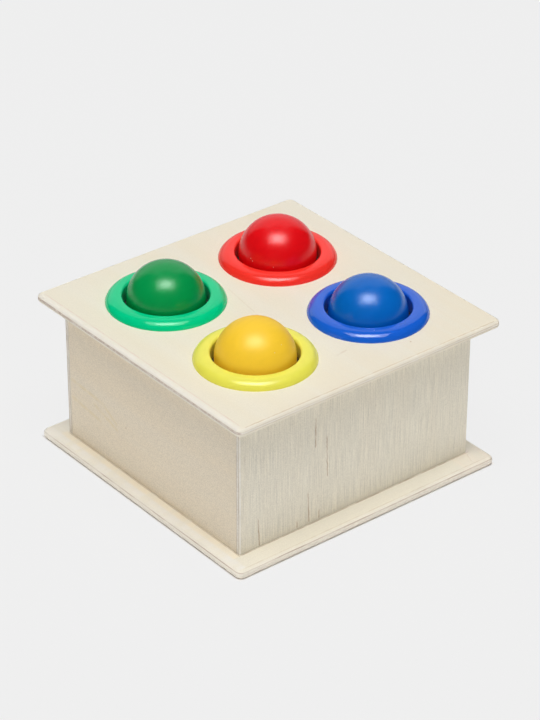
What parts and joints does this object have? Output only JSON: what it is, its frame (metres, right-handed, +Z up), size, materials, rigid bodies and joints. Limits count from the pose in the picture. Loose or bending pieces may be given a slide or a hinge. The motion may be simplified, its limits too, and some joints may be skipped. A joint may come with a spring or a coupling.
{
  "type": "pounding ball box",
  "caption": "Plywood toddler toy box with overhanging boards, coloured rings that hold wooden balls in its top, and a ramp that rolls pounded balls out at an open end.",
  "frame": {"origin": "middle of the base board's underside", "axes": "+Z up, +X out of the open end, +Y towards the back wall"},
  "size_m": [0.185, 0.185, 0.1205],
  "materials": {
    "plywood": "bare sanded pale plywood with rounded board edges that show the plies",
    "grip_rubber": "matt black rubber",
    "red_plastic": "glossy moulded plastic",
    "red_lacquer": "satin lacquer over turned wood",
    "green_plastic": "glossy moulded plastic",
    "green_lacquer": "satin lacquer over turned wood",
    "blue_plastic": "glossy moulded plastic",
    "blue_lacquer": "satin lacquer over turned wood",
    "yellow_plastic": "glossy moulded plastic",
    "yellow_lacquer": "satin lacquer over turned wood"
  },
  "bodies": {
    "box": {"base_board": "plywood", "front_wall": "plywood", "back_wall": "plywood", "left_wall": "plywood", "ramp_batten": "plywood", "ramp": "plywood", "top_board": "plywood", "red_ring": "red_plastic", "green_ring": "green_plastic", "blue_ring": "blue_plastic", "yellow_ring": "yellow_plastic", "red_grip": "grip_rubber", "green_grip": "grip_rubber", "blue_grip": "grip_rubber", "yellow_grip": "grip_rubber"},
    "red_ball": {"red_ball": "red_lacquer"},
    "green_ball": {"green_ball": "green_lacquer"},
    "blue_ball": {"blue_ball": "blue_lacquer"},
    "yellow_ball": {"yellow_ball": "yellow_lacquer"}
  },
  "joints": [
    {"name": "red_ball_slide", "type": "slide", "parent": "box", "child": "red_ball", "axis": [0, 0, 1], "range_m": [-0.0614, 0.04], "deforming": ["red_grip"]},
    {"name": "green_ball_slide", "type": "slide", "parent": "box", "child": "green_ball", "axis": [0, 0, 1], "range_m": [-0.0454, 0.04], "deforming": ["green_grip"]},
    {"name": "blue_ball_slide", "type": "slide", "parent": "box", "child": "blue_ball", "axis": [0, 0, 1], "range_m": [-0.0576, 0.04], "deforming": ["blue_grip"]},
    {"name": "yellow_ball_slide", "type": "slide", "parent": "box", "child": "yellow_ball", "axis": [0, 0, 1], "range_m": [-0.0454, 0.04], "deforming": ["yellow_grip"]}
  ]
}
